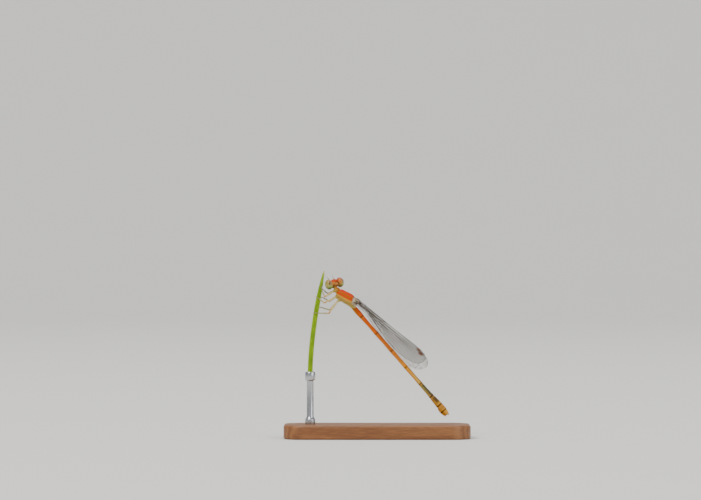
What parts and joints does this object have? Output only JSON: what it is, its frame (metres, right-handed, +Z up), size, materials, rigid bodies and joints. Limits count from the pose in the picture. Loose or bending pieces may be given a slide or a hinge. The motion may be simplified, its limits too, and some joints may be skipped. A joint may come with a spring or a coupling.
{
  "type": "damselfly model",
  "caption": "Life-size display model of a small orange damselfly with folded wings, clinging to a short cut leaf blade held up by a flat stand.",
  "frame": {"origin": "middle of the underside of the stand's base", "axes": "+Z up, +X along the base towards the tail end, +Y across the base, away from the insect's left side"},
  "size_m": [0.027, 0.012, 0.0243],
  "materials": {
    "head_skin": "satin cuticle, red-orange above and tan behind with dark marks",
    "eye": "glossy compound eye, green below and tan to pinkish above",
    "feeler": "satin, brown",
    "thorax_skin": "satin cuticle with orange and olive-brown stripes above cream sides",
    "abdomen_skin": "satin cuticle, orange fading to tan, with dark joint rings",
    "wing_film": "clear thin film with brown-grey veins",
    "leg_skin": "satin, olive-cream with orange-brown knees",
    "leaf": "waxy lime green leaf with paler edges",
    "base_wood": "satin oiled wood",
    "rod_steel": "fine brushed"
  },
  "bodies": {
    "root": {"head": "head_skin", "eye_left": "eye", "eye_right": "eye", "antenna_left": "feeler", "antenna_right": "feeler", "prothorax": "thorax_skin", "thorax": "thorax_skin", "abdomen_s1_s2": "abdomen_skin", "abdomen_s3": "abdomen_skin", "abdomen_s4": "abdomen_skin", "abdomen_s5": "abdomen_skin", "abdomen_s6": "abdomen_skin", "abdomen_s7": "abdomen_skin", "abdomen_s8": "abdomen_skin", "abdomen_s9_s10": "abdomen_skin", "forewing_left": "wing_film", "forewing_right": "wing_film", "hindwing_left": "wing_film", "hindwing_right": "wing_film", "leg_front_left": "leg_skin", "leg_front_right": "leg_skin", "leg_middle_left": "leg_skin", "leg_middle_right": "leg_skin", "leg_hind_left": "leg_skin", "leg_hind_right": "leg_skin", "perch_blade": "leaf", "stand_base": "base_wood", "stand_rod": "rod_steel"}
  },
  "joints": []
}
